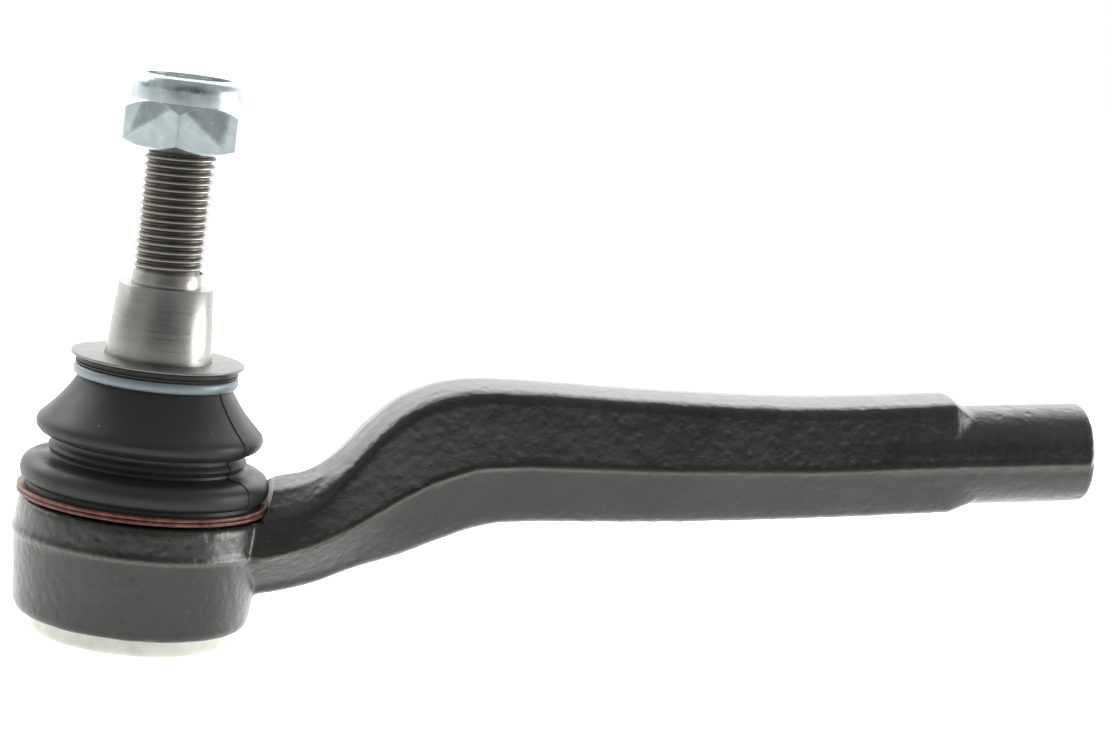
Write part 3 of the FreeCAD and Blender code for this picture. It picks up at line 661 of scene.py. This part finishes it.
thin = add_node(tree, "ShaderNodeTexNoise", {"Scale": per(1.8), "Detail": 4.0}, {"Vector": place})
clamp_tone = add_node(tree, "ShaderNodeValToRGB", links={"Fac": thin.outputs["Fac"]})
clamp_tone.color_ramp.elements[0].position, clamp_tone.color_ramp.elements[0].color = 0.35, linear("#4e241c")
clamp_tone.color_ramp.elements[1].position, clamp_tone.color_ramp.elements[1].color = 0.75, linear("#84564a")
tree.links.new(clamp_tone.outputs["Color"], shader.inputs["Base Color"])
dress(clamp, clamp_coating, "clamp_coating", "housing", "boot_lower_clamp")

# ---- Upper clip ----
# A half-round steel ring pressed into the boot's neck, in pale grey-blue zinc flake paint.
clip = turned("neck_clip", rounded([(14.43, 33.05), (16.0, 33.05), (16.0, 35.2), (14.43, 35.2)], (1, 2), 1.0, 6), 128)
zinc_flake, tree, shader, place = material("zinc_flake_paint", "#818b90", 0.4, 0.38)
flake = add_node(tree, "ShaderNodeTexNoise", {"Scale": per(0.7), "Detail": 3.0}, {"Vector": place})
flake_gloss = add_node(tree, "ShaderNodeMapRange", {"To Min": 0.28, "To Max": 0.5}, {"Value": flake.outputs["Fac"]})
tree.links.new(flake_gloss.outputs[0], shader.inputs["Roughness"])
dress(clip, zinc_flake, "clip_coating", "boot_top", "boot_upper_clip")

# ---- Collar plate ----
# A stamped stainless disc between the boot's rim and the steering arm, slightly wider than the rim.
plate = turned("collar_disc", rounded([(10.42, 37.0), (16.8, 37.0), (16.8, 37.6), (10.42, 37.6)], (1, 2), 0.2), 128)
stainless, tree, shader, place = material("stamped_stainless", "#7a7976", 1.0, 0.4)
wipe = add_node(tree, "ShaderNodeTexNoise", {"Scale": per(2.5), "Detail": 4.0}, {"Vector": place})
wipe_gloss = add_node(tree, "ShaderNodeMapRange", {"To Min": 0.3, "To Max": 0.5}, {"Value": wipe.outputs["Fac"]})
tree.links.new(wipe_gloss.outputs[0], shader.inputs["Roughness"])
dress(plate, stainless, "bright_steel", "boot_top", "boot_collar_plate")

# ---- Lock nut ----
# An M14 x 1.5 hexagon nut, 22 mm across flats, cold formed and bright zinc plated. Both ends
# of the hexagon are chamfered, and a round collar above it holds the nylon ring.
NUT_BOTTOM = 78.2
NUT_FLATS = 22.0
HEX_TOP = 87.7
NUT_TOP = 92.2
FIRST_CORNER = math.radians(20)
select_only()
bpy.ops.mesh.primitive_cylinder_add(vertices=6, radius=NUT_FLATS / math.sqrt(3) * MM,
                                    depth=(HEX_TOP - NUT_BOTTOM) * MM,
                                    location=(0, 0, (HEX_TOP + NUT_BOTTOM) / 2 * MM))
nut = bpy.context.object
nut.name = "hex_nut"
bpy.ops.object.transform_apply()
first = nut.data.vertices[0].co
nut.data.transform(Matrix.Rotation(FIRST_CORNER - math.atan2(first.y, first.x), 4, "Z"))
modify(nut, "BEVEL", width=0.5 * MM, segments=3, limit_method="ANGLE")
hex_envelope = turned("hex_envelope", [
    (0, NUT_BOTTOM - 0.1), (10.4, NUT_BOTTOM - 0.1), (13.7, NUT_BOTTOM + 2.0),
    (13.7, HEX_TOP - 3.6), (12.6, HEX_TOP - 2.1), (11.5, HEX_TOP - 0.9), (10.4, HEX_TOP + 0.1),
    (0, HEX_TOP + 0.1)], 128)
cut(nut, hex_envelope, "INTERSECT")
COLLAR_RADIUS = 10.9
collar = turned("collar", rounded([(0, HEX_TOP - 1), (COLLAR_RADIUS, HEX_TOP - 1),
                                   (COLLAR_RADIUS, NUT_TOP - 1.6), (10.2, NUT_TOP - 0.2),
                                   (9.4, NUT_TOP), (0, NUT_TOP)], (2, 3, 4), 0.8), 128)
cut(nut, collar, "UNION")
cut(nut, turned("nut_bore", [(0, NUT_BOTTOM - 1), (8.1, NUT_BOTTOM - 0.2), (7.05, NUT_BOTTOM + 0.85), (7.05, 88.4),
                             (9.03, 88.4), (9.03, 91.4), (8.0, 91.4), (8.0, 93), (0, 93)], 96))
nut_phase = (NUT_BOTTOM + 1.2 - THREAD_START - 0.3) % THREAD_PITCH
nut_thread = thread_ridge("nut_thread", 7.1, 6.25, NUT_BOTTOM + 1.2 - nut_phase + THREAD_PITCH / 2, 5, 48)
join(nut, nut_thread)
zinc, tree, shader, place = material("bright_zinc_plate", "#b9c4c5", 1.0, 0.24)
spangle = add_node(tree, "ShaderNodeTexNoise", {"Scale": per(3.5), "Detail": 5.0, "Roughness": 0.6},
                   {"Vector": place})
zinc_tone = add_node(tree, "ShaderNodeValToRGB", links={"Fac": spangle.outputs["Fac"]})
zinc_tone.color_ramp.elements[0].position, zinc_tone.color_ramp.elements[0].color = 0.3, linear("#a9b5b8")
zinc_tone.color_ramp.elements[1].position, zinc_tone.color_ramp.elements[1].color = 0.7, linear("#c9d4d5")
tree.links.new(zinc_tone.outputs["Color"], shader.inputs["Base Color"])
zinc_gloss = add_node(tree, "ShaderNodeMapRange", {"From Min": 0.3, "From Max": 0.7, "To Min": 0.16, "To Max": 0.34},
                      {"Value": spangle.outputs["Fac"]})
tree.links.new(zinc_gloss.outputs[0], shader.inputs["Roughness"])
zinc_bump = add_node(tree, "ShaderNodeBump", {"Strength": 0.2, "Distance": 0.06 * MM},
                     {"Height": spangle.outputs["Fac"]})
tree.links.new(zinc_bump.outputs[0], shader.inputs["Normal"])
dress(nut, zinc, "zinc_plate", "nut", "lock_nut")

# ---- Nylon ring ----
# A ring of nylon held under the nut's lip, which the stud's thread cuts into and is gripped by.
ring = turned("nylon_ring", rounded([(7.04, 88.45), (9.0, 88.45), (9.0, 91.35), (7.04, 91.35)], (2, 3), 0.3), 96)
nylon, tree, shader, place = material("natural_nylon", "#dcddd6", 0.0, 0.4)
streaks = add_node(tree, "ShaderNodeTexNoise", {"Scale": per(2), "Detail": 2.0}, {"Vector": place})
nylon_gloss = add_node(tree, "ShaderNodeMapRange", {"To Min": 0.32, "To Max": 0.5}, {"Value": streaks.outputs["Fac"]})
tree.links.new(nylon_gloss.outputs[0], shader.inputs["Roughness"])
dress(ring, nylon, "nylon", "nut_carrier", "nut_insert")
